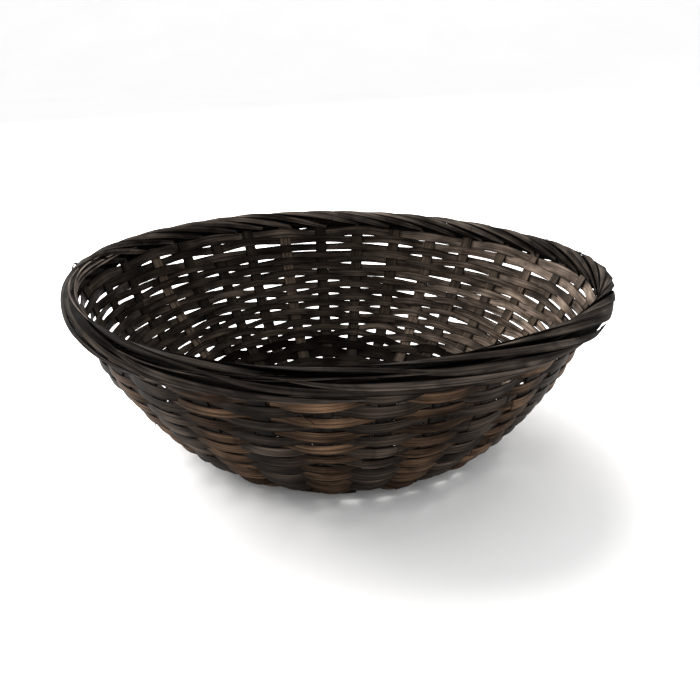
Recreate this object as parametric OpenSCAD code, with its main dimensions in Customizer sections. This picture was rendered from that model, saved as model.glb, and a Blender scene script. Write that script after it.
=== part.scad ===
// Round open bowl basket, woven from flat bamboo splints over splints that run from rim to rim.
// Origin: centre of the foot's underside. +Z is up. Sizes are in millimetres, angles in degrees.

/* [Overall size] */
// Outer diameter across the wrapped rim
rim_d = 304.8; // [296:0.2:312]
// Overall height, foot to the top of the rim
height = 101.6; // [98:0.2:106]
// Outer diameter of the foot ring
foot_d = 167; // [164:1:172]
// Radius of the wall's curve, seen from the side
wall_curve_r = 165; // [155:1:180]

/* [Splints] */
// Long splints laid across the base; each one makes two wall stakes
splint_count = 16; // [12:2:16]
// Width of a splint up the wall
splint_w = 8; // [6:0.5:8]
// Width of a splint where all of them cross at the hub
splint_hub_w = 5.5; // [4.5:0.25:5.5]
// Thickness of a splint
splint_t = 0.75; // [0.6:0.05:0.75]

/* [Wall weave] */
// Number of weaver rows up the wall
row_count = 20; // [14:1:20]
// Thickness of a wall weaver
weaver_t = 0.7; // [0.5:0.05:0.8]
// Space between one row and the next
row_gap = 0.35; // [0.3:0.05:0.8]

/* [Base weave] */
// Width of a base weaver
base_weaver_w = 2.9; // [2:0.1:2.9]
// Thickness of a base weaver
base_weaver_t = 0.6; // [0.4:0.05:0.6]
// Turns that each of the two base weavers makes
base_turns = 5.75; // [3:0.25:5.75]

/* [Rim] */
// Thickness of a rim wrapping strip
rim_strip_t = 0.9; // [0.7:0.1:0.9]
// Width of the wrapped rim, measured across the basket's wall
rim_band_w = 8.3; // [8.1:0.1:8.9]
// Height of the wrapped rim
rim_band_h = 14.4; // [14:0.2:15]

/* [Hidden] */
// Room left between two pieces that lie on each other
fit_gap = 0.2;
stake_count = 2 * splint_count;
stake_pitch = 360 / stake_count;

// Foot ring: an inner hoop with two strips laid round it
foot_r = foot_d / 2;
foot_h = 3.9;
foot_strip_t = 1.5;
foot_hoop_t = 2.8;
foot_strip_arc = 352;

// Base: the splints and their weavers lie on the foot, rise gently inwards, and the splints are
// stacked at the hub
base_wave = splint_t / 2 + base_weaver_t / 2 + 2 * fit_gap;
base_z = foot_h + fit_gap + base_weaver_t / 2 + base_wave;
base_out_r = foot_r + 2;
base_flat_r = foot_r - 6.5;
base_in_r = 40;
base_in_z = base_z + 4.6;
hub_r = 29.5;
hub_pitch = splint_t + 0.08;
hub_low_z = 1.6;
taper_in_r = 45;
taper_out_r = 80;
base_weave_in_r = 44;
base_weave_pitch = 7;

// Rim: the strips lie on an elliptical tube round the tips of the stakes
rim_tube_a = rim_band_w / 2 - rim_strip_t / 2;
rim_tube_b = rim_band_h / 2 - rim_strip_t / 2;
rim_tube_r = rim_d / 2 - rim_band_w / 2;
rim_tube_z = height - rim_band_h / 2;
rim_strip_count = splint_count;
rim_clear = rim_strip_t / 2 + 0.5;
// Corners of one turn of a strip: [stake pitches round the basket, degrees round the tube]. It goes
// over the top in a long slant, then under and up again through the gap between two stakes.
RIM_TURN = [[0, 200], [6.5, -75], [6.89, -120], [7, -160]];
RIM_TURN_STEPS = [18, 3, 3];
rim_first_pitch = -0.445;
// Half width of a strip in degrees round the tube; it is drawn narrow where it goes between stakes
rim_half = 18.6;
rim_half_low = 12;
RIM_HALVES = [[-160, rim_half_low], [-110, rim_half_low], [-75, rim_half],
    [183.5, rim_half], [191.5, rim_half_low], [200, rim_half_low]];

// Wall: a circular arc from the foot to the knee, then straight out to the stakes' tips,
// in the plane [radius, z]
wall_foot = [foot_r - 2.1, 0];
wall_knee = [rim_d / 2 - 14, height - 25.6];
wall_tip = [rim_tube_r + 0.65, rim_tube_z + 2.8];
wall_chord = wall_knee - wall_foot;
wall_rise = sqrt(pow(wall_curve_r, 2) - pow(norm(wall_chord) / 2, 2));
wall_c = (wall_foot + wall_knee) / 2 + wall_rise * [-wall_chord.y, wall_chord.x] / norm(wall_chord);
flare = (wall_tip.x - wall_knee.x) / (wall_tip.y - wall_knee.y);
wall_start_z = base_z + 1.2;
wall_steps = 12;

// Rows: equal steps along the wall
rows_low_z = 7.6;
rows_high_z = rim_tube_z - 7.4;
// One stake's share of a row's wave: [place in stake pitches, share of the full swing]
WAVE = [[-0.36, 0.5], [-0.2, 1], [0.2, 1], [0.36, 0.5]];
wave_at_stake_edge = 0.88;

DARK = [0.15, 0.12, 0.11];
STAKE = [0.20, 0.17, 0.14];
WARM = [0.33, 0.25, 0.19];
RIM = [0.22, 0.19, 0.17];

function two(i) = str(i < 10 ? "0" : "", i);
function numbered(stem, count) = [for (i = [1:count]) str(stem, two(i))];

SPLINTS = numbered("splint_", splint_count);
ROWS = numbered("wall_weaver_row_", row_count);
RIM_STRIPS = numbered("rim_strip_", rim_strip_count);
BASE_WEAVERS = ["base_weaver_a", "base_weaver_b"];
HOOPS = ["rim_hoop_outer", "rim_hoop_inner"];
FOOT = ["foot_hoop", "foot_strip_lower", "foot_strip_upper"];

// ---------- Wall curve ----------

// Radius of the stakes' middle surface at height z
function wall_r(z) = z > wall_knee.y
    ? wall_knee.x + flare * (z - wall_knee.y)
    : wall_c.x + sqrt(pow(wall_curve_r, 2) - pow(z - wall_c.y, 2));
// Lean of the wall away from vertical at height z
function wall_lean(z) = z > wall_knee.y ? atan(flare) : atan2(wall_c.y - z, wall_r(z) - wall_c.x);
// Length along the wall up to height z, with 0 at the knee, and back again
function wall_run(z) = z > wall_knee.y
    ? (z - wall_knee.y) / cos(atan(flare))
    : (wall_lean(wall_knee.y) - wall_lean(z)) * PI / 180 * wall_curve_r;
function run_z(s) = s > 0
    ? wall_knee.y + s * cos(atan(flare))
    : wall_c.y - wall_curve_r * sin(wall_lean(wall_knee.y) - s / wall_curve_r * 180 / PI);

// ---------- Splints ----------

// Unit normal of a path at point i, from its neighbours
function path_normal(p, i) =
    let (d = p[min(i + 1, len(p) - 1)] - p[max(i - 1, 0)])
    [-d.y, d.x] / norm(d);

// Outline of a band of thickness t that follows a path
function band(p, t) = concat(
    [for (i = [0:len(p) - 1]) p[i] + path_normal(p, i) * t / 2],
    [for (i = [len(p) - 1:-1:0]) p[i] - path_normal(p, i) * t / 2]);

// Half of a splint's path, from the hub to the rim, for the k-th splint in the hub's stack
function half_path(k) = concat(
    [[0, hub_low_z + k * hub_pitch], [hub_r, hub_low_z + k * hub_pitch]],
    [[base_in_r, base_in_z], [base_flat_r, base_z], [base_out_r, base_z]],
    [for (i = [0:wall_steps])
        let (z = wall_start_z + (wall_knee.y - wall_start_z) * i / wall_steps)
        [wall_r(z), z]],
    [wall_tip]);

function mirrored(p) = [for (i = [len(p) - 1:-1:1]) [-p[i].x, p[i].y]];

// Plan of a splint: narrow at the hub, full width up the wall
module splint_plan() {
    edge = [[rim_d / 2, splint_w / 2], [taper_out_r, splint_w / 2], [taper_in_r, splint_hub_w / 2]];
    polygon(concat(
        edge,
        [for (i = [2:-1:0]) [-edge[i].x, edge[i].y]],
        [for (q = edge) -q],
        [for (i = [2:-1:0]) [edge[i].x, -edge[i].y]]));
}

module splint(k) {
    color(STAKE)
        rotate([0, 0, k * stake_pitch])
            intersection() {
                rotate([90, 0, 0])
                    translate([0, 0, -splint_w / 2])
                        linear_extrude(splint_w)
                            polygon(band(concat(mirrored(half_path(k)), half_path(k)), splint_t));
                linear_extrude(height)
                    splint_plan();
            }
}

// ---------- Wall weavers ----------

// Lower edge of row i on the wall
function row_z(i) =
    let (low = wall_run(rows_low_z), high = wall_run(rows_high_z))
    run_z(low + (high - low) * i / row_count);

// Swing of row i, so that it clears the leaning stakes over its whole width
function row_swing(i) =
    let (h = row_z(i + 1) - row_z(i), lean = max(wall_lean(row_z(i)), wall_lean(row_z(i + 1))))
    (h / 2 * tan(lean) + splint_t / 2 / cos(lean) + weaver_t / 2 + fit_gap) / wave_at_stake_edge;

// The row's closed outline at distance off from its middle line; side is 1 or -1
function row_outline(r, swing, side, off) = [
    for (s = [0:stake_count - 1], w = WAVE)
        let (a = (s + w[0]) * stake_pitch)
        let (q = r + (s % 2 == 0 ? side : -side) * swing * w[1] + off)
        q * [cos(a), sin(a)]];

module wall_weaver(i) {
    low = row_z(i) + row_gap / 2;
    high = row_z(i + 1) - row_gap / 2;
    r = wall_r((low + high) / 2);
    swing = row_swing(i);
    side = i % 2 == 0 ? 1 : -1;
    // The strip's two ends meet over one stake, five stakes further round on each row
    splice = (5 * i + 2) * stake_pitch;
    color(i % 2 == 0 ? WARM : DARK)
        difference() {
            translate([0, 0, low])
                linear_extrude(high - low)
                    difference() {
                        polygon(row_outline(r, swing, side, weaver_t / 2));
                        polygon(row_outline(r, swing, side, -weaver_t / 2));
                    }
            rotate([0, 0, splice])
                translate([r - 10, -0.25, low - 1])
                    cube([20, 0.5, high - low + 2]);
        }
}

// ---------- Ribbons through a list of cross-sections ----------

module ribbon(sections) {
    m = len(sections[0]);
    n = len(sections);
    sides = [
        for (i = [0:n - 2], j = [0:m - 1])
            let (a = i * m + j, b = i * m + (j + 1) % m)
            for (f = [[a, a + m, b], [b, a + m, b + m]]) f];
    start = [[for (j = [0:m - 1]) j]];
    end = [[for (j = [m - 1:-1:0]) (n - 1) * m + j]];
    polyhedron(points = [for (s = sections, p = s) p], faces = concat(sides, start, end));
}

function around(r, a, z) = [r * cos(a), r * sin(a), z];

// ---------- Base weavers ----------

function base_surface(r) =
    base_in_z + (base_z - base_in_z) * min(1, (r - base_in_r) / (base_flat_r - base_in_r));

// Section at step k; there are two steps to a stake, one at each of its quarter points
function base_section(k) =
    let (a = (k / 2 - 0.25) * stake_pitch)
    let (r = base_weave_in_r + base_weave_pitch * a / 360)
    let (up = floor(k / 2) % 2 == 0 ? base_wave : -base_wave)
    [for (q = [[-1, -1], [1, -1], [1, 1], [-1, 1]])
        let (qr = r + q.x * base_weaver_w / 2)
        around(qr, a, base_surface(qr) + up + q.y * base_weaver_t / 2)];

// The second weaver starts half a turn and one stake later, so it takes the other stakes
module base_weaver(second) {
    color(DARK)
        rotate([0, 0, second ? 180 + stake_pitch : 0])
            ribbon([for (k = [0:2 * stake_count * base_turns - 1]) base_section(k)]);
}

// ---------- Rim ----------

function tube_point(phi, a, grow) =
    around(rim_tube_r + (rim_tube_a + grow) * cos(phi), a, rim_tube_z + (rim_tube_b + grow) * sin(phi));

// One leg of a strip's turn, without its last corner
function rim_leg(j) = [
    for (s = [0:RIM_TURN_STEPS[j] - 1])
        RIM_TURN[j] + (RIM_TURN[j + 1] - RIM_TURN[j]) * s / RIM_TURN_STEPS[j]];
RIM_LOOP = [for (j = [0:len(RIM_TURN) - 2], p = rim_leg(j)) p];
// Two turns, with the second one ending on the outside: [pitches, degrees, half width]
RIM_PATH = [
    for (k = [0:len(RIM_LOOP) + RIM_TURN_STEPS[0]])
        let (turn = floor(k / len(RIM_LOOP)), p = RIM_LOOP[k % len(RIM_LOOP)])
        [p.x + turn * RIM_TURN[3].x + rim_first_pitch, p.y - turn * 360, lookup(p.y, RIM_HALVES)]];

// Lengths in millimetres for a step of one stake pitch, and of one degree round the tube
rim_pitch_mm = rim_tube_r * stake_pitch * PI / 180;
rim_degree_mm = 0.1;
RIM_FLAT = [for (p = RIM_PATH) [p.x * rim_pitch_mm, p.y * rim_degree_mm]];

// Point of the strip's section k; across runs from -1 to 1 over its width
function rim_point(k, across, grow) =
    let (half = RIM_PATH[k][2] * rim_degree_mm * across)
    let (q = RIM_FLAT[k] + path_normal(RIM_FLAT, k) * half)
    tube_point(q.y / rim_degree_mm, q.x / rim_pitch_mm * stake_pitch, grow);

// A strip rises on the inside, crosses the top, comes down on the outside and does so once more
module rim_strip(i) {
    color(RIM)
        rotate([0, 0, i * 360 / rim_strip_count])
            ribbon([
                for (k = [0:len(RIM_PATH) - 1])
                    concat(
                        [for (q = [1, 0, -1]) rim_point(k, q, -rim_strip_t / 2)],
                        [for (q = [-1, 0, 1]) rim_point(k, q, rim_strip_t / 2)])]);
}

// Radius inside the strips' tube at height z; side is 1 outside the wall and -1 inside it
function tube_inner(z, side) =
    rim_tube_r + side * (rim_tube_a - rim_clear)
        * sqrt(1 - pow((z - rim_tube_z) / (rim_tube_b - rim_clear), 2));

// A hoop that fills the space between the stakes and the strips on one side
module rim_hoop(side, low, high) {
    steps = 6;
    zs = [for (i = [0:steps]) low + (high - low) * i / steps];
    stake = splint_t / 2 / cos(wall_lean(low)) + fit_gap;
    color(RIM)
        rotate_extrude($fn = 96)
            polygon(concat(
                [for (z = zs) [wall_r(z) + side * stake, z]],
                [for (i = [steps:-1:0]) [tube_inner(zs[i], side), zs[i]]]));
}

// ---------- Foot ----------

module foot_ring(out_r, t, h, arc, turn) {
    color(WARM)
        rotate([0, 0, turn])
            rotate_extrude(angle = arc, $fn = 96)
                translate([out_r - t, 0])
                    square([t, h]);
}

for (k = [0:splint_count - 1])
    splint(k);
for (i = [0:row_count - 1])
    wall_weaver(i);
for (i = [0:rim_strip_count - 1])
    rim_strip(i);
base_weaver(false);  // base_weaver_a
base_weaver(true);  // base_weaver_b
rim_hoop(1, rim_tube_z - 3.6, rim_tube_z + 3);  // rim_hoop_outer
rim_hoop(-1, rim_tube_z - 1.2, rim_tube_z + 3);  // rim_hoop_inner
foot_ring(foot_r - 2 * foot_strip_t - 2 * fit_gap, foot_hoop_t, foot_h, 360, 0);  // foot_hoop
foot_ring(foot_r - foot_strip_t - fit_gap, foot_strip_t, foot_h - 0.3, foot_strip_arc, 60);  // foot_strip_lower
foot_ring(foot_r, foot_strip_t, foot_h, foot_strip_arc, -40);  // foot_strip_upper
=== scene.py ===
import math

import bpy
import numpy as np
from mathutils import Matrix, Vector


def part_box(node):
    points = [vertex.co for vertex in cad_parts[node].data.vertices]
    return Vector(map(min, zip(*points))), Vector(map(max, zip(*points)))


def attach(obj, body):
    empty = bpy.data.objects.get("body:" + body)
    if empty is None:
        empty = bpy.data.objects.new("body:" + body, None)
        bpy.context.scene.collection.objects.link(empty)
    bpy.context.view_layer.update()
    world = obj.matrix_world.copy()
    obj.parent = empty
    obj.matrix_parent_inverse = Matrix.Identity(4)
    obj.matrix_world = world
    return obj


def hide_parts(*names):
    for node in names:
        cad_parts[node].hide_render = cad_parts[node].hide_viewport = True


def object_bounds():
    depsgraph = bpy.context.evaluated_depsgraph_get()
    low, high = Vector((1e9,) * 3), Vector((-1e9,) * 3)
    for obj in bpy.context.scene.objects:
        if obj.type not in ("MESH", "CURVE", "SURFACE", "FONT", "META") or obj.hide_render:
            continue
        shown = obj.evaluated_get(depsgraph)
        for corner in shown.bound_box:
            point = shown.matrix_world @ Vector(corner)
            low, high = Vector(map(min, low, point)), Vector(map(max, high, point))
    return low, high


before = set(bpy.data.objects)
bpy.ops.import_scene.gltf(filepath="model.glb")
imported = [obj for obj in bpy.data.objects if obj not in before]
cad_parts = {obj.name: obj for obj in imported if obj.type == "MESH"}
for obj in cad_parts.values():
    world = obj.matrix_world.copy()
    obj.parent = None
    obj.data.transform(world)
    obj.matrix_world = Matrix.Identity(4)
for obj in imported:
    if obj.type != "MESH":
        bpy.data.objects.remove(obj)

MM = 0.001
TURN = 2 * math.pi
CAD_LOW, CAD_HIGH = [list(c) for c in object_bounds()]

# ---------------------------------------------------------------- sizes from the frame

HEIGHT = CAD_HIGH[2]
RIM_R = CAD_HIGH[0]
FOOT_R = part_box("foot_strip_upper")[1][0]
SPLINTS = sorted(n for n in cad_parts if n.startswith("splint_"))
ROWS = sorted(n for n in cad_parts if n.startswith("wall_weaver_row_"))
RIM_STRIPS = sorted(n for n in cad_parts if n.startswith("rim_strip_"))
STAKES = 2 * len(SPLINTS)
PITCH = TURN / STAKES

# Rim: an elliptical tube round the stakes' tips
TUBE_A, TUBE_B = 3.7 * MM, 6.75 * MM
TUBE_R = RIM_R - 4.15 * MM
TUBE_Z = HEIGHT - 7.2 * MM

# Wall: an arc from the foot to the knee, then straight out to the stakes' tips, as [radius, z]
WALL_CURVE_R = 165 * MM
WALL_FOOT = np.array([FOOT_R - 2.1 * MM, 0.0])
WALL_KNEE = np.array([RIM_R - 14 * MM, HEIGHT - 25.6 * MM])
WALL_TIP = np.array([TUBE_R + 0.65 * MM, TUBE_Z + 2.8 * MM])
CHORD = WALL_KNEE - WALL_FOOT
CHORD_LEN = float(np.hypot(*CHORD))
WALL_RISE = math.sqrt(WALL_CURVE_R**2 - CHORD_LEN**2 / 4)
WALL_C = (WALL_FOOT + WALL_KNEE) / 2 + WALL_RISE * np.array([-CHORD[1], CHORD[0]]) / CHORD_LEN
FLARE = float((WALL_TIP[0] - WALL_KNEE[0]) / (WALL_TIP[1] - WALL_KNEE[1]))


def wall_r(z):
    arc = WALL_C[0] + np.sqrt(np.maximum(WALL_CURVE_R**2 - (z - WALL_C[1]) ** 2, 0))
    return np.where(z > WALL_KNEE[1], WALL_KNEE[0] + FLARE * (z - WALL_KNEE[1]), arc)


def wall_lean(z):
    """How far the wall leans out from the vertical."""
    arc = np.arctan2(WALL_C[1] - z, wall_r(z) - WALL_C[0])
    return np.where(z > WALL_KNEE[1], math.atan(FLARE), arc)


# Splints, and the base that they make: a stacked hub, a dished ring and a flat ring
SPLINT_W = 8.2 * MM
SPLINT_HUB_W = 5.5 * MM
SPLINT_T = 0.7 * MM
BASE_WAVE = 0.95 * MM
BASE_CLEARANCE = 0.45 * MM  # half a base weaver's thickness and a fit gap
BASE_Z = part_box("foot_hoop")[1][2] + BASE_CLEARANCE + BASE_WAVE
BASE_IN_R, BASE_IN_Z = 40 * MM, BASE_Z + 4.6 * MM
BASE_FLAT_R = FOOT_R - 6.5 * MM
BASE_OUT_R = FOOT_R + 2 * MM
HUB_R = 29.5 * MM
HUB_LOW_Z, HUB_PITCH = 1.6 * MM, 0.83 * MM

# ---------------------------------------------------------------- how the real one is out of true

VIEW_TURN_DEG = 3.3  # the side that faces the camera, from -Y
# The rim's rise and fall in mm: shares of the cosine and sine of 1, 2 and 3 times the angle
RIM_WARP_MM = ((0.4, -0.9), (0.9, -1.7), (-0.5, -0.7))
RIM_OVAL, RIM_OVAL_TURN = 0.004, 0.6
# The wall is fuller on the left, below the rim
BULGE, BULGE_AT, BULGE_HALF_TURN = 0.034, math.radians(188), 0.55
BULGE_Z, BULGE_HALF_H = 0.6 * HEIGHT, 0.17 * HEIGHT
# Painted light: how much paler the cane is made on the right, round which angle, and how far round
RIGHT_LIGHT_GAIN, RIGHT_LIGHT_AT, RIGHT_LIGHT_HALF_TURN = 2.3, 0.35, 0.75
FRONT = -math.pi / 2


def warp_z(t):
    """The rim isn't level: its height above the true one."""
    t = t - math.radians(VIEW_TURN_DEG)
    return MM * sum(a * np.cos(k * t) + b * np.sin(k * t) for k, (a, b) in enumerate(RIM_WARP_MM, 1))


def settled(points):
    """Points with the rim's warp, which fades towards the foot, and with the wall's bulge."""
    t = np.arctan2(points[..., 1], points[..., 0])
    share = np.clip(points[..., 2] / HEIGHT, 0, 1.1) ** 2
    out = points.copy()
    out[..., 2] += share * warp_z(t)
    out[..., :2] *= (1 + RIM_OVAL * share * np.cos(2 * t + RIM_OVAL_TURN))[..., None]
    left = np.exp(-(((t + TURN) % TURN - BULGE_AT) / BULGE_HALF_TURN) ** 2)
    below = np.exp(-((points[..., 2] - BULGE_Z) / BULGE_HALF_H) ** 2)
    out[..., :2] *= (1 + BULGE * left * below)[..., None]
    return out


def rng_for(name):
    """A random source that depends only on the piece's name."""
    return np.random.default_rng(sum((i + 1) * ord(c) for i, c in enumerate(name)))


def wander(rng, size, slow=1, fast=9):
    """A smooth closed wobble round the basket, about -size to size, as a function of angle."""
    waves = [(k, rng.normal(), rng.uniform(0, TURN)) for k in range(slow, fast + 1)]
    total = math.sqrt(sum(a * a for _, a, _ in waves)) or 1
    return lambda t: size * sum(a * np.sin(k * t + p) for k, a, p in waves) / total


def stake_shift():
    """How far round each stake is from its even place: a slow crowding, in degrees, and a small
    error, in stake pitches."""
    t = np.arange(STAKES) * PITCH - math.radians(VIEW_TURN_DEG)
    smooth = np.radians(-2.07 - 1.1 * np.sin(t) - 1.97 * np.cos(2 * t))
    return smooth + np.random.default_rng(41).normal(0, 0.02, STAKES) * PITCH


STAKE_SHIFT = stake_shift()


def stake_phase(t):
    """Place in the weave: whole numbers are stakes, with their shifts taken in."""
    s = np.arange(-2, STAKES + 3)
    places = s * PITCH + STAKE_SHIFT[s % STAKES]
    turns = np.floor(t / TURN)
    return np.interp(t - turns * TURN, places, s) + turns * STAKES


def per_stake(rng, size):
    """A smooth function of the place in the weave that has a random value at each stake."""
    values = rng.normal(0, size, STAKES)

    def at(place):
        k = np.floor(place).astype(int)
        f = place - k
        f = f * f * (3 - 2 * f)
        return values[k % STAKES] * (1 - f) + values[(k + 1) % STAKES] * f

    return at


def facing(t, middle, half_width):
    """1 at one side of the basket, falling to 0 round it."""
    return np.exp(-((((t - middle + math.pi) % TURN) - math.pi) / half_width) ** 2)


def painted_right_light(t):
    """Painted light: the cane is made paler on the right, where the light falls."""
    return 1 + RIGHT_LIGHT_GAIN * facing(t, RIGHT_LIGHT_AT, RIGHT_LIGHT_HALF_TURN)


# ---------------------------------------------------------------- strip meshes

# A strip's section: places across it as shares of its half width, and ribs as shares of RIB
PLAIN = (np.array([-1, -0.6, 0, 0.6, 1.0]), np.zeros(5))
RIBBED = (np.linspace(-1, 1, 17), np.array([0, 1] * 8 + [0]))
RIB = 0.09 * MM
SHARP_DEG = 38  # edges of a strip that are sharper than this stay sharp


class Strips:
    """Collects flat strips into one mesh, with the lengths that their grain follows."""

    def __init__(self):
        self.points, self.faces, self.grain, self.tone = [], [], [], []
        self.count = 0

    def add(self, centre, across, normal, half_w, thick, tone, seed, crown=0.05, section=PLAIN):
        """Add a strip. centre, across and normal are n x 3; half_w, thick and tone (brightness)
        are numbers or n long; seed sets its grain apart, and crown is its bow across."""
        n = len(centre)
        half_w, thick, tone = [np.broadcast_to(v, n)[:, None] for v in (half_w, thick, tone)]
        across = across / np.linalg.norm(across, axis=1, keepdims=True)
        normal = normal - across * (normal * across).sum(1, keepdims=True)
        normal = normal / np.linalg.norm(normal, axis=1, keepdims=True)
        steps = np.linalg.norm(np.diff(centre, axis=0), axis=1)
        run = np.concatenate([[0], np.cumsum(steps)])[:, None]
        places, ribs = section
        k = len(places)
        share = np.concatenate([places, places[::-1]])[None, :]
        side = np.repeat([1.0, -1.0], k)[None, :]
        rib = np.concatenate([ribs, -ribs[::-1]])[None, :] * RIB
        v = share * half_w
        rise = side * thick / 2 + rib + crown * half_w * (1 - share**2)
        p = centre[:, None] + across[:, None] * v[..., None] + normal[:, None] * rise[..., None]
        m = 2 * k
        index = self.count + np.arange(n)[:, None] * m + np.arange(m)[None, :]
        here, after = index[:-1], index[1:]
        quads = np.stack([here, np.roll(here, -1, 1), np.roll(after, -1, 1), after], -1)
        self.faces += [tuple(q) for q in quads.reshape(-1, 4).tolist()]
        self.faces += [tuple(index[0][::-1].tolist()), tuple(index[-1].tolist())]
        self.points.append(settled(p).reshape(-1, 3))
        fibre = [np.broadcast_to(run, (n, m)), v, np.full((n, m), seed)]
        look = [np.broadcast_to(a, (n, m)) for a in (tone, np.abs(share), side * 0.5 + 0.5)]
        self.grain.append(np.stack(fibre, -1).reshape(-1, 3))
        self.tone.append(np.stack(look, -1).reshape(-1, 3))
        self.count += n * m

    def build(self, name, material):
        mesh = bpy.data.meshes.new(name)
        mesh.from_pydata(np.concatenate(self.points).tolist(), [], self.faces)
        for label, values in (("grain", self.grain), ("tone", self.tone)):
            layer = mesh.attributes.new(label, "FLOAT_VECTOR", "POINT")
            layer.data.foreach_set("vector", np.concatenate(values).astype(np.float32).ravel())
        mesh.materials.append(material)
        mesh.update()
        mesh.shade_smooth()
        mesh.set_sharp_from_angle(angle=math.radians(SHARP_DEG))
        obj = bpy.data.objects.new(name, mesh)
        bpy.context.scene.collection.objects.link(obj)
        return obj


def place(obj, nodes, slot):
    """The basket has one body, so every piece rides on root."""
    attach(obj, "root")
    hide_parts(*nodes)


def spun(t, r, z):
    """Points at angle t, radius r and height z."""
    t, r, z = np.broadcast_arrays(t, r, z)
    return np.stack([r * np.cos(t), r * np.sin(t), z], -1)


def leaning(t, tilt):
    """Directions up and across a strip at angle t that leans out by tilt, and out of its face."""
    out, up = spun(t, 1.0, 0.0), np.array([0, 0, 1.0])
    tilt = np.broadcast_to(tilt, np.shape(t))[:, None]
    return out * np.sin(tilt) + up * np.cos(tilt), out * np.cos(tilt) - up * np.sin(tilt)


# ---------------------------------------------------------------- materials


class Tree:
    """Short calls for building a node material."""

    def __init__(self, name):
        self.material = bpy.data.materials.new(name)
        self.material.use_nodes = True
        self.nodes = self.material.node_tree.nodes
        self.links = self.material.node_tree.links
        self.shader = self.nodes["Principled BSDF"]

    def add(self, kind, inputs=(), **settings):
        node = self.nodes.new(kind)
        for key, value in settings.items():
            setattr(node, key, value)
        for key, value in dict(inputs).items():
            self.put(node, key, value)
        return node

    def put(self, node, key, value):
        if isinstance(value, bpy.types.NodeSocket):
            self.links.new(value, node.inputs[key])
        else:
            node.inputs[key].default_value = value

    def math(self, op, a, b=0.0, clamp=False):
        node = self.add("ShaderNodeMath", {0: a, 1: b}, operation=op, use_clamp=clamp)
        return node.outputs[0]

    def ramp(self, value, stops):
        node = self.add("ShaderNodeValToRGB", {"Fac": value})
        ramp = node.color_ramp
        while len(ramp.elements) < len(stops):
            ramp.elements.new(0.5)
        for element, (where, colour) in zip(ramp.elements, stops):
            element.position = where
            element.color = (*colour, 1)
        return node.outputs["Color"]

    def mix(self, fac, a, b, blend="MIX"):
        node = self.add("ShaderNodeMix", data_type="RGBA", blend_type=blend)
        self.put(node, 0, fac)
        self.put(node, 6, a)
        self.put(node, 7, b)
        return node.outputs[2]

    def darken(self, base, share, weight, deep):
        """base with its share, a mask, times weight turned to the deep colour."""
        return self.mix(self.math("MULTIPLY", share, weight), base, (*deep, 1))

    def noise(self, vector, scale, detail=3.0, rough=0.55, distortion=0.0):
        node = self.add("ShaderNodeTexNoise", {
            "Vector": vector, "Scale": scale, "Detail": detail, "Roughness": rough,
            "Distortion": distortion})
        return node.outputs[0]

    def scaled(self, vector, x, y, z):
        node = self.add("ShaderNodeVectorMath", {0: vector, 1: (x, y, z)}, operation="MULTIPLY")
        return node.outputs[0]


BLACK, WHITE = (0, 0, 0), (1, 1, 1)
# Scales of the noise along a strip, across it and from strip to strip: fibre is long and narrow
FINE_FIBRE, BROAD_FIBRE = (26, 3200, 7.3), (12, 950, 3.1)
STAIN_PATCH, SPECKS = (38, 130, 5.7), (420, 1500, 2.3)
JOINTS_PER_M, JOINT_SHARPNESS, JOINT_WAVER = 4.3, 160.0, 0.010
# Painted shade at the strips' edges: where it starts across the half width, and how sharply it and the
# black shadow line at the very edge come in
EDGE_SHADE_START, EDGE_SHARPNESS, BRINK_SHARPNESS = 0.72, 3.6, 12.0
FIBRE_RELIEF = 0.10 * MM


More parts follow.
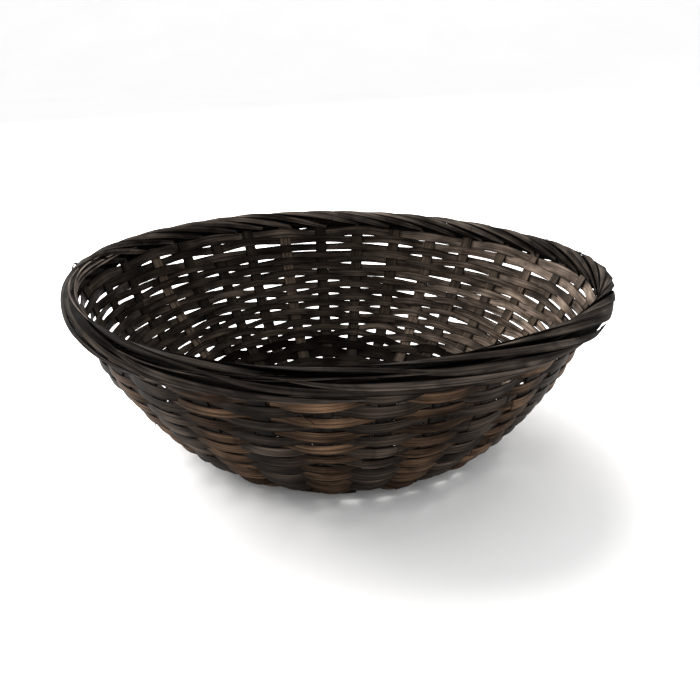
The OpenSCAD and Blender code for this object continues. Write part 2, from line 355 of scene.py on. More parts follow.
def bamboo(name, deep, outer, inner, rough, gloss=0.02, brink_shade_start=0.88):
    """Stained bamboo: lengthwise fibre, patchy stain, dark specks, and painted shade along the edges.
    outer and inner are the darkest and palest colour on the strip's two faces, the inner partly
    painted sheen, and the last argument is the share of the half width beyond which the strip is
    painted black, a painted shadow line between strips."""
    t = Tree(name)
    grain = t.add("ShaderNodeAttribute", attribute_name="grain").outputs["Vector"]
    tone = t.add("ShaderNodeAttribute", attribute_name="tone").outputs["Vector"]
    bright, edge_place, face = t.add("ShaderNodeSeparateXYZ", {0: tone}).outputs
    run, _, seed = t.add("ShaderNodeSeparateXYZ", {0: grain}).outputs
    fine = t.noise(t.scaled(grain, *FINE_FIBRE), 1.0, 4.0, 0.62)
    broad = t.noise(t.scaled(grain, *BROAD_FIBRE), 1.0, 3.0, 0.55)
    patch = t.noise(t.scaled(grain, *STAIN_PATCH), 1.0, 3.0, 0.55, 0.3)
    speck = t.noise(t.scaled(grain, *SPECKS), 1.0, 2.0, 0.5)
    off_mean = t.math("SUBTRACT", broad, 0.5)

    faces = [t.ramp(patch, [(0.36, low), (0.64, high)]) for low, high in (inner, outer)]
    base = t.mix(face, faces[0], faces[1])
    base = t.darken(base, t.ramp(broad, [(0.40, WHITE), (0.58, BLACK)]), 0.72, deep)
    base = t.darken(base, t.ramp(fine, [(0.36, WHITE), (0.50, BLACK)]), 0.62, deep)
    base = t.darken(base, t.ramp(speck, [(0.68, BLACK), (0.78, WHITE)]), 0.4, deep)

    # Joints in the cane: a thin dark band now and then along the strip
    along = t.math("ADD", t.math("MULTIPLY", run, JOINTS_PER_M), t.math("MULTIPLY", seed, 0.37))
    near = t.math("ABSOLUTE", t.math("SUBTRACT", t.math("FRACT", along), 0.5))
    wavy = t.math("ADD", near, t.math("MULTIPLY", off_mean, JOINT_WAVER))
    joint = t.math("SUBTRACT", 1.0, t.math("MULTIPLY", wavy, JOINT_SHARPNESS), clamp=True)
    base = t.darken(base, joint, 0.35, deep)

    # Painted shade along the edges, where the strips meet, broken up in places; the very edge is
    # painted black, a shadow line between strips
    past_edge = t.math("SUBTRACT", edge_place, EDGE_SHADE_START)
    edge = t.math("MULTIPLY", past_edge, EDGE_SHARPNESS, clamp=True)
    kept = t.ramp(patch, [(0.52, WHITE), (0.60, BLACK)])
    base = t.darken(base, t.math("MULTIPLY", edge, kept), 0.8, deep)
    past_brink = t.math("SUBTRACT", edge_place, brink_shade_start)
    brink = t.math("MULTIPLY", past_brink, BRINK_SHARPNESS, clamp=True)
    base = t.darken(base, brink, 0.85, deep)

    shade = t.add("ShaderNodeCombineXYZ", {0: bright, 1: bright, 2: bright}).outputs[0]
    t.put(t.shader, "Base Color", t.mix(1.0, base, shade, "MULTIPLY"))
    t.put(t.shader, "Roughness", t.math("ADD", rough, t.math("MULTIPLY", off_mean, 0.3)))
    t.put(t.shader, "Specular IOR Level", gloss)

    lines = t.math("ADD", t.math("MULTIPLY", fine, 0.6), t.math("MULTIPLY", broad, 0.9))
    relief = t.math("ADD", lines, t.math("MULTIPLY", joint, 0.5))
    bump = t.add("ShaderNodeBump", {"Height": relief, "Strength": 0.5, "Distance": FIBRE_RELIEF})
    t.put(t.shader, "Normal", bump.outputs[0])
    return t.material


# name, deep colour, darkest and palest colour outside, the same inside, roughness, shine, and where
# the painted black shadow line at the edge starts
# The inside colours of the stakes and weavers are raised partly as painted sheen, standing in for the
# shine of their inner faces; the rest is their stain.
STAKE_MAT = bamboo(
    "stake_bamboo", (0.0030, 0.0024, 0.0021),
    ((0.005, 0.0041, 0.0035), (0.015, 0.0120, 0.0100)),
    ((0.012, 0.0088, 0.0064), (0.038, 0.0275, 0.0195)), 0.50)
DARK_MAT = bamboo(
    "dark_weaver_bamboo", (0.0036, 0.0028, 0.0024),
    ((0.013, 0.0101, 0.0083), (0.068, 0.0515, 0.0400)),
    ((0.019, 0.0144, 0.0111), (0.094, 0.0720, 0.0570)), 0.46)
WARM_MAT = bamboo(
    "warm_weaver_bamboo", (0.0060, 0.0036, 0.0025),
    ((0.022, 0.0130, 0.0080), (0.118, 0.0710, 0.0425)),
    ((0.019, 0.0144, 0.0111), (0.090, 0.0690, 0.0540)), 0.50)
# The base and the lowest rows are nearly black inside, and have no shine
LOW_INSIDE = ((0.0045, 0.0034, 0.0026), (0.014, 0.0106, 0.0080))
BASE_MAT = bamboo(
    "base_bamboo", (0.0020, 0.0016, 0.0014), LOW_INSIDE, LOW_INSIDE, 0.6, 0.003)
LOW_DARK_MAT = bamboo(
    "low_dark_bamboo", (0.0030, 0.0024, 0.0020),
    ((0.009, 0.0068, 0.0054), (0.042, 0.0305, 0.0230)), LOW_INSIDE, 0.5, 0.01)
LOW_WARM_MAT = bamboo(
    "low_warm_bamboo", (0.0050, 0.0032, 0.0022),
    ((0.022, 0.0130, 0.0080), (0.080, 0.0480, 0.0290)), LOW_INSIDE, 0.5, 0.01)
RIM_MAT = bamboo(
    "rim_bamboo", (0.0030, 0.0024, 0.0021),
    ((0.012, 0.0098, 0.0084), (0.068, 0.0550, 0.0460)),
    ((0.010, 0.0082, 0.0070), (0.044, 0.0360, 0.0305)), 0.52, 0.004, 0.84)

# ---------------------------------------------------------------- splints


PATH_STEP, PATH_SMOOTHING = 1.5 * MM, 6
BASE_STEP_UP = 1.2 * MM  # the wall's curve takes over this far above the base


def smooth_path(points):
    """Points [r, z] joined by a smooth curve, PATH_STEP apart."""
    pts = np.array(points)
    run = np.concatenate([[0], np.cumsum(np.linalg.norm(np.diff(pts, axis=0), axis=1))])
    fine = np.linspace(0, run[-1], int(run[-1] / PATH_STEP) + 1)
    out = np.stack([np.interp(fine, run, pts[:, i]) for i in (0, 1)], -1)
    for _ in range(PATH_SMOOTHING):
        out[1:-1] = (out[:-2] + 2 * out[1:-1] + out[2:]) / 4
    return out


def half_path(k):
    """Half of splint k, from the middle of the hub to the tip of its stake, as [r, z]."""
    hub_z = HUB_LOW_Z + k * HUB_PITCH
    heights = np.linspace(BASE_Z + BASE_STEP_UP, WALL_TIP[1], 40)
    wall = np.stack([wall_r(heights), heights], -1).tolist()
    base = [[BASE_IN_R, BASE_IN_Z], [BASE_FLAT_R, BASE_Z], [BASE_OUT_R, BASE_Z]]
    return smooth_path([[0, hub_z], [HUB_R, hub_z]] + base + wall)


# Brightness of the stakes; a few are of much paler cane
STAKE_TONES, TONE_ODDS = [0.7, 0.95, 1.2, 1.7], [0.35, 0.3, 0.2, 0.15]
STAKE_TONE = np.random.default_rng(12).choice(STAKE_TONES, STAKES, p=TONE_ODDS)
PALE_STAKES, DARK_STAKES = (3, 6, 10, 14), (4, 5, 7, 8, 9, 22, 23, 24, 25, 26)
STAKE_TONE[list(PALE_STAKES)] = 3.3
STAKE_TONE[list(DARK_STAKES)] = 0.8
PALEST, FOOT_TONE, FOOT_FADE = 3.6, 0.35, 22 * MM  # dark at the foot, paler up the wall
WIDENS = (45 * MM, 80 * MM)  # a splint widens between these radii


def make_splint(k, name):
    rng = rng_for(name)
    strips = Strips()
    half = half_path(k)
    profile = np.concatenate([half[:0:-1] * [-1, 1], half])
    x, z = profile[:, 0], profile[:, 1]
    far_end = (k + len(SPLINTS)) % STAKES
    # Each end leans over to its own stake's place; near the hub the splint is straight
    share = np.clip((np.abs(x) - HUB_R) / (FOOT_R - HUB_R), 0, 1)
    t = k * PITCH + np.where(x > 0, STAKE_SHIFT[k], STAKE_SHIFT[far_end]) * share
    out, side = spun(t, 1.0, 0.0), spun(t + TURN / 4, 1.0, 0.0)
    centre = out * x[:, None] + np.array([0, 0, 1.0]) * z[:, None]
    up = np.cross(np.gradient(centre, axis=0), side)
    up *= -np.sign(up[len(up) // 2, 2])
    wide = np.interp(np.abs(x), WIDENS, [SPLINT_HUB_W, SPLINT_W]) / 2
    wide = wide * (1 + 0.04 * np.sin(x * 90 + rng.uniform(0, 6)))
    ends = np.clip(x / (2 * HUB_R) + 0.5, 0, 1)
    tone = STAKE_TONE[far_end] * (1 - ends) + STAKE_TONE[k] * ends
    # Painted light: paler on the right
    tone = np.minimum(tone * painted_right_light(t + np.where(x > 0, 0, math.pi)), PALEST)
    tone = tone * np.interp(np.abs(x), [FOOT_R, FOOT_R + FOOT_FADE], [FOOT_TONE, 1])
    strips.add(centre, side, up, wide, SPLINT_T, tone, rng.uniform(0, 90), 0.02, RIBBED)
    return strips.build(name.replace("splint", "long_splint"), STAKE_MAT)


for k, name in enumerate(SPLINTS):
    place(make_splint(k, name), [name], "splint")

# ---------------------------------------------------------------- wall weavers

WEAVER_T = 0.5 * MM
STATIONS_PER_STAKE = 16
ROW_TILT, LOW_ROW_TILT = 0.5, 0.85  # a weaver leans this share of the wall's own lean
ROW_W = (4.62 * MM, 5.65 * MM)
TIGHT_ROW_W, TOP_ROW_W, LOW_ROW_W = 5.7 * MM, 6.8 * MM, {0: 7.2 * MM, 1: 5.6 * MM}
FRONT_WIDER = 0.10  # the rows at the front are wider
# Rows pushed close together above the base and below the rim, with how far each is pushed up
PUSHED_UP = {0: -0.5 * MM, 1: -0.4 * MM, 2: -0.4 * MM, 17: 0.2 * MM, 18: 1.5 * MM, 19: 2.3 * MM}
ROW_SLIP = 0.22 * MM  # a row slips down where it passes outside a stake, and up where inside
ROW_BOB, ROW_JOG = 0.62 * MM, 0.24 * MM  # its slow wave up and down, and its step at each stake
WIDTH_CHANGE, TONE_CHANGE = 0.07, 0.22  # shares by which it changes from stake to stake
SPLICE_LAP, SPLICE_LIFT = 0.35 * PITCH, 0.3 * MM  # past the cut at each end, one on the other
SPLINTER_ODDS = 0.45
SNAPPED_ROW, SNAPPED_AT = 17, math.radians(-93)  # a weaver that has broken, below the rim


def swing_shape(x):
    """The weave's wave: 1 over even stakes and -1 over odd ones, flat where it crosses a stake."""
    c = np.cos(math.pi * x)
    return np.sign(c) * np.abs(c) ** 0.72


def row_path(t, z, swing):
    """Points of a row at angle t, moved off the wall's middle surface by swing."""
    lean = wall_lean(z)
    return spun(t, wall_r(z) + swing * np.cos(lean), z - swing * np.sin(lean))


def add_splinter(strips, rng, t0, z, lift, length, drop):
    """A thin splinter that has sprung off a strip, outwards by lift and more at its tip."""
    t = t0 + np.linspace(0, 1, 12) * length / float(wall_r(z))
    k = np.linspace(0, 1, 12)
    swing = lift * np.minimum(1, 4 * k) + 1.6 * MM * k**2
    centre = row_path(t, z + drop * k**1.5, swing)
    across, normal = leaning(t, rng.normal(0.3, 0.4))
    strips.add(centre, across, normal, (0.5 - 0.4 * k) * MM, 0.25 * MM, 0.8, rng.uniform(0, 90))


def row_width(i, wide):
    """The rows at the top and the bottom have widths of their own; wide is the others'."""
    if i not in PUSHED_UP:
        return wide
    return TOP_ROW_W if i == len(ROWS) - 1 else LOW_ROW_W.get(i, TIGHT_ROW_W)


def make_row(i, name):
    """A row in two lengths, whose ends overlap."""
    rng = rng_for(name)
    low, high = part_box(name)[0][2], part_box(name)[1][2]
    z_mid = (low + high) / 2 + PUSHED_UP.get(i, 0.0)
    lean = wall_lean(z_mid)
    tilt = lean * (LOW_ROW_TILT if i in LOW_ROW_W else ROW_TILT)
    side = 1 if i % 2 == 0 else -1
    strips = Strips()
    bob = wander(rng, ROW_BOB, 3, 12)
    jog = per_stake(rng, ROW_JOG)
    width = per_stake(rng, WIDTH_CHANGE)
    drift = per_stake(rng, TONE_CHANGE)
    start = rng.uniform(0, TURN)
    cuts = [start, start + TURN * rng.uniform(0.42, 0.58), start + TURN]
    for part in range(2):
        a, b = cuts[part] - SPLICE_LAP, cuts[part + 1] + SPLICE_LAP
        t = np.linspace(a, b, int((b - a) / PITCH * STATIONS_PER_STAKE) + 1)
        phase = stake_phase(t)
        wide = row_width(i, rng.uniform(*ROW_W))
        half = wide / 2 * (1 + width(phase)) * (1 + FRONT_WIDER * facing(t, FRONT, 0.9))
        gap = half * np.sin(lean - tilt) + (SPLINT_T + WEAVER_T) / 2 / np.cos(lean)
        lap = np.exp(-((t - a) / (0.8 * PITCH)) ** 2) - np.exp(-((t - b) / (0.8 * PITCH)) ** 2)
        wave = side * swing_shape(phase)
        z = z_mid + bob(t) + jog(phase) - ROW_SLIP * wave
        centre = row_path(t, z, wave * gap + SPLICE_LIFT * lap)
        across, normal = leaning(t, tilt)
        # Random tone, and painted light: paler on the right
        tone = rng.uniform(0.7, 1.3) * (1 + drift(phase)) * painted_right_light(t)
        # Painted shade: a float is palest in the middle and darkened at its ends, where it dips into
        # the wall between stakes
        outside, inside = np.clip(wave, 0, 1), np.clip(-wave, 0, 1)
        tone = tone * (0.6 + 0.55 * outside**2 + 0.3 * inside**2)
        strips.add(centre, across, normal, half, WEAVER_T, tone, rng.uniform(0, 90))
    if rng.random() < SPLINTER_ODDS:
        t0, length, drop = rng.uniform(0, TURN), rng.uniform(8, 20), rng.normal(0, 1.5)
        add_splinter(strips, rng, t0, z_mid, 1.6 * MM, length * MM, drop * MM)
    if i == SNAPPED_ROW:
        add_splinter(strips, rng, SNAPPED_AT, z_mid, 1.8 * MM, 7 * MM, -4 * MM)
        add_splinter(strips, rng, SNAPPED_AT, z_mid, 1.6 * MM, -5 * MM, 3 * MM)
    dark, warm = (LOW_DARK_MAT, LOW_WARM_MAT) if i <= len(LOW_ROW_W) else (DARK_MAT, WARM_MAT)
    return strips.build(name.replace("weaver_row", "weaver"), warm if i % 2 == 0 else dark)


for i, name in enumerate(ROWS):
    place(make_row(i, name), [name], "weaver_warm" if i % 2 == 0 else "weaver_dark")

# ---------------------------------------------------------------- base weavers

BASE_WEAVE_IN_R, BASE_WEAVE_PITCH, BASE_TURNS = 44 * MM, 8.0 * MM, 5.75
BASE_WEAVE_HALF_W, BASE_WEAVE_TILT, BASE_WEAVE_CROWN = 2.15 * MM, math.radians(70), 0.14
BASE_WEAVE_STATIONS = 12  # for each stake that it passes
CLIMB_R, CLIMB_Z = BASE_OUT_R + 5 * MM, 7 * MM  # where the weave has started up the wall


def base_surface(r):
    """Height of the splints' middle surface; past the foot it starts up the wall."""
    places = [BASE_IN_R, BASE_FLAT_R, BASE_OUT_R, CLIMB_R]
    return np.interp(r, places, [BASE_IN_Z, BASE_Z, BASE_Z, CLIMB_Z])


def make_base_weaver(name, second):
    """One of the two strips of the double spiral; the second starts half a turn on."""
    rng = rng_for(name)
    strips = Strips()
    lag = math.pi + PITCH if second else 0.0
    t = np.linspace(0, BASE_TURNS * TURN, int(BASE_TURNS * STAKES * BASE_WEAVE_STATIONS))
    r = BASE_WEAVE_IN_R + BASE_WEAVE_PITCH * t / TURN
    wave = swing_shape(stake_phase(t + lag) - (1 if second else 0)) * BASE_WAVE
    centre = spun(t + lag, r + 0.2 * MM * np.sin(t * 3.7), base_surface(r) + wave)
    across, normal = leaning(t + lag, BASE_WEAVE_TILT)
    tone = 1 + per_stake(rng, 0.35)(stake_phase(t + lag))
    strips.add(centre, across, -normal, BASE_WEAVE_HALF_W, WEAVER_T, tone, rng.uniform(0, 90),
               BASE_WEAVE_CROWN)
    return strips.build(name + "_strip", BASE_MAT)


for name, second in (("base_weaver_a", False), ("base_weaver_b", True)):
    place(make_base_weaver(name, second), [name], "weaver_dark")

# ---------------------------------------------------------------- rim

# One turn of a strip, as [stake pitches round the basket, radians round the tube]: over the top in
# a long slant, then under and up again between two stakes
RIM_TURN = np.array([[0, 200], [6.5, -75], [6.89, -120], [7, -160]]) * [1, TURN / 360]
RIM_TURN_STEPS = [60, 6, 6]
RIM_FIRST_PITCH = -0.445
RIM_W, RIM_LOW_W = 3.85 * MM, 2.6 * MM
RIM_T, RIM_CROWN = 0.5 * MM, 0.10
SHINGLE = 0.17  # slope of a strip across its width, where one edge lies on its neighbour
# The wrap is slack left of the front, and its strips slant less there
SLACK, SLACK_AT, SLACK_HALF_TURN = 1.1, math.radians(-106), math.radians(30)
# Gaps in the wrap at the front: angle round the basket, angle round the tube, and half sizes
GAPS_DEG = ((-86.7, 35, 19, 19), (-116.7, 19, 13, 14))


def slack_table():
    """Even places round the rim, and the places that the slack moves them to."""
    t = np.linspace(-math.pi, math.pi, 721)
    rate = 1 + SLACK * np.exp(-((t - SLACK_AT) / SLACK_HALF_TURN) ** 2)
    total = np.concatenate([[0], np.cumsum((rate[1:] + rate[:-1]) / 2 * np.diff(t))])
    return t, total / total[-1] * TURN - math.pi


SLACK_T, SLACK_TO = slack_table()


def slack(t):
    """Angle t, moved by the slack; it may be past a whole turn."""
    turns = np.floor((t + math.pi) / TURN)
    return np.interp(t - turns * TURN, SLACK_T, SLACK_TO) + turns * TURN


def tube(t, phi, grow):
    """Points on the rim's tube, grown by grow. phi is 0 outside and a quarter turn on top."""
    return spun(t, TUBE_R + (TUBE_A + grow) * np.cos(phi), TUBE_Z + (TUBE_B + grow) * np.sin(phi))


def rim_path():
    """A strip's two turns: stake pitches round the basket, angle round the tube, and width."""
    legs = [RIM_TURN[j] + (RIM_TURN[j + 1] - RIM_TURN[j]) * np.arange(steps)[:, None] / steps
            for j, steps in enumerate(RIM_TURN_STEPS)]
    turn = np.concatenate(legs)
    width = np.interp(np.degrees(turn[:, 1]), [-160, -110, -75, 184, 192, 200],
                      [RIM_LOW_W, RIM_LOW_W, RIM_W, RIM_W, RIM_LOW_W, RIM_LOW_W])
    path = np.column_stack([turn, width])
    again = path[:RIM_TURN_STEPS[0] + 1] + [RIM_TURN[3][0], -TURN, 0]
    return np.concatenate([path, again])


RIM_PATH = rim_path()


def parted(t, phi):
    """At a gap the strips part: how far they move round the tube, the share of their width that
    they keep, and how far they sink."""
    move, keep, sink = 0.0, 1.0, 0.0
    for gap in GAPS_DEG:
        at, up, half_t, half_phi = np.radians(gap)
        along = np.exp(-((((t - at + math.pi) % TURN) - math.pi) / half_t) ** 2)
        off = (((phi - up + math.pi) % TURN) - math.pi) / half_phi
        near = along * np.exp(-(off**2))
        move = move + 0.9 * half_phi * along * np.tanh(2 * off) * np.exp(-((off / 2.5) ** 2))
        keep = keep * (1 - 0.65 * near)
        sink = sink - 1.2 * MM * near
    return move, keep, sink


def rim_painted_light(t, phi):
    """Painted light and shade: brightness round the rim, darkest at the left and right, palest at the
    back, and dark on the front's inner lip."""
    ends = (1 - 0.35 * facing(t, -2.8, 1.0)) * (1 - 0.3 * facing(t, 0.0, 0.6))
    pale = (1 + 1.8 * facing(t, 1.5, 1.1)) * (1 + 0.3 * facing(t, -0.9, 0.5))
    lip = np.clip(np.cos(phi - 2.0), 0, 1) * np.clip(-np.sin(t + 0.3), 0, 1)
    return ends * pale * (1 - 0.5 * lip)


def add_rim_strip(strips, rng, first, offset, lift, width):
    """offset is how far round the tube the strip lies from its true place, in radians."""
    k = np.linspace(0, 1, len(RIM_PATH))
    t = slack(first + (RIM_PATH[:, 0] + RIM_FIRST_PITCH) * PITCH)
    phi = RIM_PATH[:, 1] + offset + 0.05 * np.sin(k * 17 + rng.uniform(0, 6))
    lift = lift + 0.25 * MM * np.sin(k * 13 + rng.uniform(0, 6))
    move, keep, sink = parted(t, phi)
    phi = phi + move
    lift = lift + sink
    centre = tube(t, phi, lift)
    round_tube = tube(t, phi + 0.01, lift) - tube(t, phi - 0.01, lift)
    round_tube /= np.linalg.norm(round_tube, axis=1, keepdims=True)
    forward = np.gradient(centre, axis=0)
    forward /= np.linalg.norm(forward, axis=1, keepdims=True)
    normal = np.cross(round_tube, forward)
    outward = centre - tube(t, phi, -2 * MM)
    normal *= np.sign((normal * outward).sum(1, keepdims=True))
    across = np.cross(forward, normal) + normal * SHINGLE
    half = RIM_PATH[:, 2] / 2 * width * (1 + 0.07 * np.sin(k * 31 + rng.uniform(0, 6))) * keep
    # Narrow over the top, where the tube's curve is tight
    half = half * (1 - 0.12 * np.clip(np.sin(phi), 0, 1) ** 6)
    tone = rng.uniform(0.6, 1.4) * (1 + 0.2 * np.sin(k * 11 + rng.uniform(0, 6)))
    # Painted light and shade round the rim
    tone = tone * rim_painted_light(t, phi)
    strips.add(centre, across, normal, half, RIM_T, tone, rng.uniform(0, 90), RIM_CROWN)


# Loose slivers of the wrap: angle round the basket, angle round the tube and height off the tube
# in mm, each at both ends, then width in mm and brightness
SLIVERS = (
    ((-146, -190), (128, 152), (0.6, 0.8), 1.2, 3.2), ((-140, -184), (112, 132), (0.6, 0.8), 0.9, 2.8),
    ((-158, -200), (150, 168), (0.6, 1.0), 1.0, 3.0), ((-136, -172), (84, 104), (0.5, 1.2), 0.9, 2.6),
    ((-104, -70), (44, 24), (-0.5, 0.1), 0.8, 0.9), ((-101, -76), (24, 38), (-0.9, -0.2), 0.6, 0.7),
    ((-98, -80), (36, 28), (0.2, -0.6), 0.4, 1.0), ((-133, -106), (28, 12), (-0.4, 0.5), 0.7, 1.4),
    ((-126, -103), (12, 26), (-0.6, 0.3), 0.5, 1.2), ((50, 45), (70, 92), (0.4, 2.8), 0.7, 1.1),
    ((30, 24), (66, 96), (0.4, 3.0), 0.6, 1.0), ((17, 8), (40, 104), (0.6, 3.8), 0.6, 1.6),
    ((-172, -183), (60, 14), (0.6, 3.2), 1.4, 0.8), ((-187, -178), (44, 0), (0.8, 3.6), 1.0, 1.0))
# How far a sliver's middle bows off the tube: most at the left, where the wrap is loose
LEFT_BOW_MM, OTHER_BOW_MM, LEFT_END_DEG = 1.6, 0.4, -150
SLIVER_T = 0.25 * MM


def add_sliver(strips, rng, turn, up, off, width, tone):
    bow = LEFT_BOW_MM if turn[1] < LEFT_END_DEG else OTHER_BOW_MM
    k = np.linspace(0, 1, 32)
    t = np.radians(turn[0] + (turn[1] - turn[0]) * k)
    phi = np.radians(up[0] + (up[1] - up[0]) * k + 3 * np.sin(7 * k + rng.uniform(0, 6)))
    lift = (off[0] + (off[1] - off[0]) * k**1.4 + bow * np.sin(math.pi * k)) * MM
    centre = tube(t, phi, lift)
    forward = np.gradient(centre, axis=0)
    normal = centre - tube(t, phi, -2 * MM)
    half = width / 2 * MM * (1 - 0.5 * np.abs(2 * k - 1) ** 3)
    strips.add(centre, np.cross(forward, normal), normal, half, SLIVER_T, tone, rng.uniform(0, 90))


def make_rim_strip(i, name):
    rng = rng_for(name)
    strips = Strips()
    first = i * TURN / len(RIM_STRIPS) + rng.normal(0, 0.02)
    offset, lift, width = rng.normal(0, 0.10), rng.uniform(0.1, 0.7), rng.uniform(0.9, 1.12)
    add_rim_strip(strips, rng, first, offset, lift * MM, width)
    if i < len(SLIVERS):
        add_sliver(strips, rng, *SLIVERS[i])
    return strips.build(name.replace("rim_strip", "rim_wrap"), RIM_MAT)


for i, name in enumerate(RIM_STRIPS):
    place(make_rim_strip(i, name), [name], "rim")


PACKING_STRIPS, PACKING_T = 5, 0.4 * MM
PACKING_LOW, PACKING_HIGH = TUBE_Z - 5.4 * MM, TUBE_Z + 5 * MM
TOP_STRIP_Z, TOP_STRIP_HALF_W, TOP_STRIP_TONE = TUBE_Z + 5.3 * MM, 2.2 * MM, 0.25


def make_hoop(name, label, inner_r, outer_r):
    """Packing inside the rim: thin loose strips that run round it between two radii."""
    rng = rng_for(name)
    strips = Strips()
    height = PACKING_HIGH - PACKING_LOW
    for j in range(PACKING_STRIPS):
        t0 = rng.uniform(0, TURN)
        t = np.linspace(t0, t0 + TURN * rng.uniform(0.95, 1.05), 260)
        share = (j + 0.5) / PACKING_STRIPS
        roam_r, roam_z = wander(rng, 0.3 * MM, 2, 7), wander(rng, 0.8 * MM, 2, 7)
        z = PACKING_LOW + height * rng.uniform(0.3, 0.7) + roam_z(t)
        r = inner_r + (outer_r - inner_r) * share + roam_r(t)
        across, normal = leaning(t, rng.normal(0.3, 0.2))
        half, tone = height / 2 * rng.uniform(0.45, 0.7), rng.uniform(0.15, 0.35)
        strips.add(spun(t, r, z), across, normal, half, PACKING_T, tone, rng.uniform(0, 90))
    # One lies flat along the top
    across, normal = leaning(t, math.pi / 2)
    strips.add(spun(t, TUBE_R, TOP_STRIP_Z), across, normal, TOP_STRIP_HALF_W, PACKING_T,
               TOP_STRIP_TONE, rng.uniform(0, 90))
    return strips.build(label, RIM_MAT)


place(make_hoop("rim_hoop_outer", "rim_packing_outer", TUBE_R + 0.5 * MM, TUBE_R + 1.7 * MM),
      ["rim_hoop_outer"], "rim")
place(make_hoop("rim_hoop_inner", "rim_packing_inner", TUBE_R - 2.0 * MM, TUBE_R - 1.0 * MM),
      ["rim_hoop_inner"], "rim")

# ---------------------------------------------------------------- foot

FOOT_W, FOOT_T, FOOT_TILT = 4.3 * MM, 0.7 * MM, 0.25
# The outer strip's lengths that face the camera, as [start, length]; the rest are random
FRONT_LENGTHS = np.radians([[-105.3 + VIEW_TURN_DEG, 21.8], [-70.5 + VIEW_TURN_DEG, 17.1]])
OUTER_FOOT_END = math.radians(225)


def add_foot_strip(strips, rng, turn, radius, low, swing, tone):
    """turn is its first and last angle, low its lower edge, and swing its wave past the stakes."""
    t = np.linspace(*turn, max(8, int((turn[1] - turn[0]) / PITCH * STATIONS_PER_STAKE)))
    r = radius + swing * swing_shape(stake_phase(t))
    across, normal = leaning(t, FOOT_TILT)
    half = FOOT_W / 2 / math.cos(FOOT_TILT)
    centre = spun(t, r, low + FOOT_W / 2)
    strips.add(centre, across, normal, half, FOOT_T, tone, rng.uniform(0, 90))


def make_foot(name, label, radius, low, swing, tone):
    """One strip that runs all the way round."""
    rng = rng_for(name)
    strips = Strips()
    add_foot_strip(strips, rng, (0, TURN * 1.02), radius, low, swing, tone)
    return strips.build(label, WARM_MAT)


def make_outer_foot(name, label):
    """Short lengths of strip with square ends, tucked round the foot."""
    rng = rng_for(name)
    strips = Strips()
    add_foot_strip(strips, rng, (0, TURN * 0.99), FOOT_R - 2.2 * MM, 0.8 * MM, 0.3 * MM, 0.7)
    lengths = FRONT_LENGTHS.tolist()
    while sum(lengths[-1]) < OUTER_FOOT_END:
        start = sum(lengths[-1]) + rng.uniform(0.14, 0.26)
        lengths.append([start, rng.uniform(0.26, 0.42)])
    for start, length in lengths:
        turn, tone = (start, start + length), rng.uniform(0.8, 1.2)
        add_foot_strip(strips, rng, turn, FOOT_R - 0.3 * MM, 0.0, 0.25 * MM, tone)
    return strips.build(label, WARM_MAT)


place(make_foot("foot_hoop", "foot_ring_inner", FOOT_R - 5 * MM, 0.0, 0.6 * MM, 0.6),
      ["foot_hoop"], "weaver_warm")
place(make_foot("foot_strip_lower", "foot_ring_lower", FOOT_R - 3.4 * MM, 0.3 * MM, -0.4 * MM, 0.7),
      ["foot_strip_lower"], "weaver_warm")
place(make_outer_foot("foot_strip_upper", "foot_ring_outer"), ["foot_strip_upper"], "weaver_warm")

# ---------------------------------------------------------------- floor, light and camera

FLOOR_BACK, SWEEP_R, BACKDROP_H, FLOOR_HALF = 3.0, 2.0, 5.0, 6.0
PAPER = ((0.93, 0.93, 0.93), (0.95, 0.95, 0.95))
WORLD_STRENGTH = 1.05
KEY_AT, KEY_AIM, KEY_SIZE, KEY_WATTS = (-0.7, 0.75, 1.0), (0, 0, 0.05), 2.4, 84
KEY_COLOUR = (1.0, 0.985, 0.96)


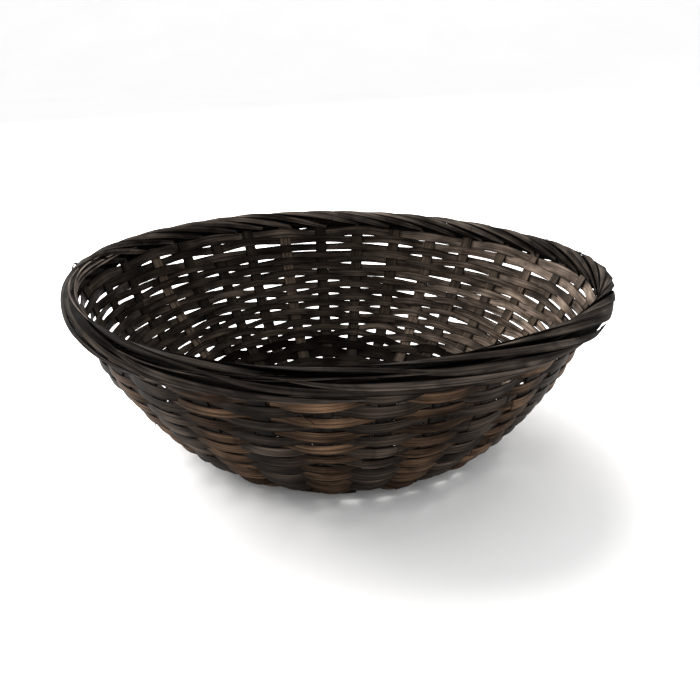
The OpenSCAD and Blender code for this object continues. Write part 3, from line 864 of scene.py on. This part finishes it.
def make_floor():
    """A pale floor that sweeps up into a backdrop."""
    turn = np.linspace(0, math.pi / 2, 24)
    line = [(-FLOOR_HALF, 0.0), (-1.0, 0.0), (1.0, 0.0)]
    line += [(FLOOR_BACK + SWEEP_R * math.sin(a), SWEEP_R * (1 - math.cos(a))) for a in turn]
    line += [(FLOOR_BACK + SWEEP_R, BACKDROP_H)]
    points = [(x, y, z) for y, z in line for x in (-FLOOR_HALF, FLOOR_HALF)]
    faces = [(2 * i, 2 * i + 1, 2 * i + 3, 2 * i + 2) for i in range(len(line) - 1)]
    mesh = bpy.data.meshes.new("floor")
    mesh.from_pydata(points, [], faces)
    mesh.shade_smooth()
    t = Tree("floor_paper")
    where = t.add("ShaderNodeNewGeometry").outputs["Position"]
    cloud = t.noise(where, 3.0, 2.0)
    t.put(t.shader, "Base Color", t.ramp(cloud, [(0.3, PAPER[0]), (0.7, PAPER[1])]))
    t.shader.inputs["Roughness"].default_value = 0.9
    t.shader.inputs["Specular IOR Level"].default_value = 0.1
    mesh.materials.append(t.material)
    obj = bpy.data.objects.new("floor", mesh)
    bpy.context.scene.collection.objects.link(obj)


def look_matrix(direction):
    """A rotation whose -Z axis points along direction."""
    back = -np.array(direction, float) / np.linalg.norm(direction)
    right = np.cross([0, 0, 1.0], back)
    right /= np.linalg.norm(right)
    up = np.cross(back, right)
    return Matrix([[right[i], up[i], back[i]] for i in range(3)]).to_4x4()


def area_light(name, where, aim, size, power, colour):
    data = bpy.data.lights.new(name, "AREA")
    data.shape, data.size, data.energy, data.color = "DISK", size, power, colour
    obj = bpy.data.objects.new(name, data)
    direction = np.array(aim) - np.array(where)
    obj.matrix_world = Matrix.Translation(where) @ look_matrix(direction)
    bpy.context.scene.collection.objects.link(obj)


make_floor()
world = bpy.data.worlds.new("studio")
world.use_nodes = True
sky = world.node_tree.nodes["Background"].inputs
sky["Color"].default_value = (1.0, 1.0, 1.0, 1)
sky["Strength"].default_value = WORLD_STRENGTH
bpy.context.scene.world = world
area_light("key", KEY_AT, KEY_AIM, KEY_SIZE, KEY_WATTS, KEY_COLOUR)

# The camera stands close, a little above the rim and almost straight in front
CAM_DISTANCE, CAM_HEIGHT, CAM_ASIDE = 427.6 * MM, 224.1 * MM, 6.4 * MM
CAM_PITCH_DEG, CAM_ROLL_DEG = 22.39, -0.06
CAM_LENS_MM, SENSOR_MM = 39.23, 36.0

camera_data = bpy.data.cameras.new("camera")
camera_data.lens, camera_data.sensor_width = CAM_LENS_MM, SENSOR_MM
camera_data.clip_start = 0.01
camera = bpy.data.objects.new("camera", camera_data)
camera.matrix_world = (
    Matrix.Rotation(math.radians(VIEW_TURN_DEG), 4, "Z")
    @ Matrix.Translation((CAM_ASIDE, -CAM_DISTANCE, CAM_HEIGHT))
    @ Matrix.Rotation(math.radians(90 - CAM_PITCH_DEG), 4, "X")
    @ Matrix.Rotation(math.radians(CAM_ROLL_DEG), 4, "Z"))
bpy.context.scene.collection.objects.link(camera)
bpy.context.scene.camera = camera
bpy.context.scene.view_settings.view_transform = "Standard"
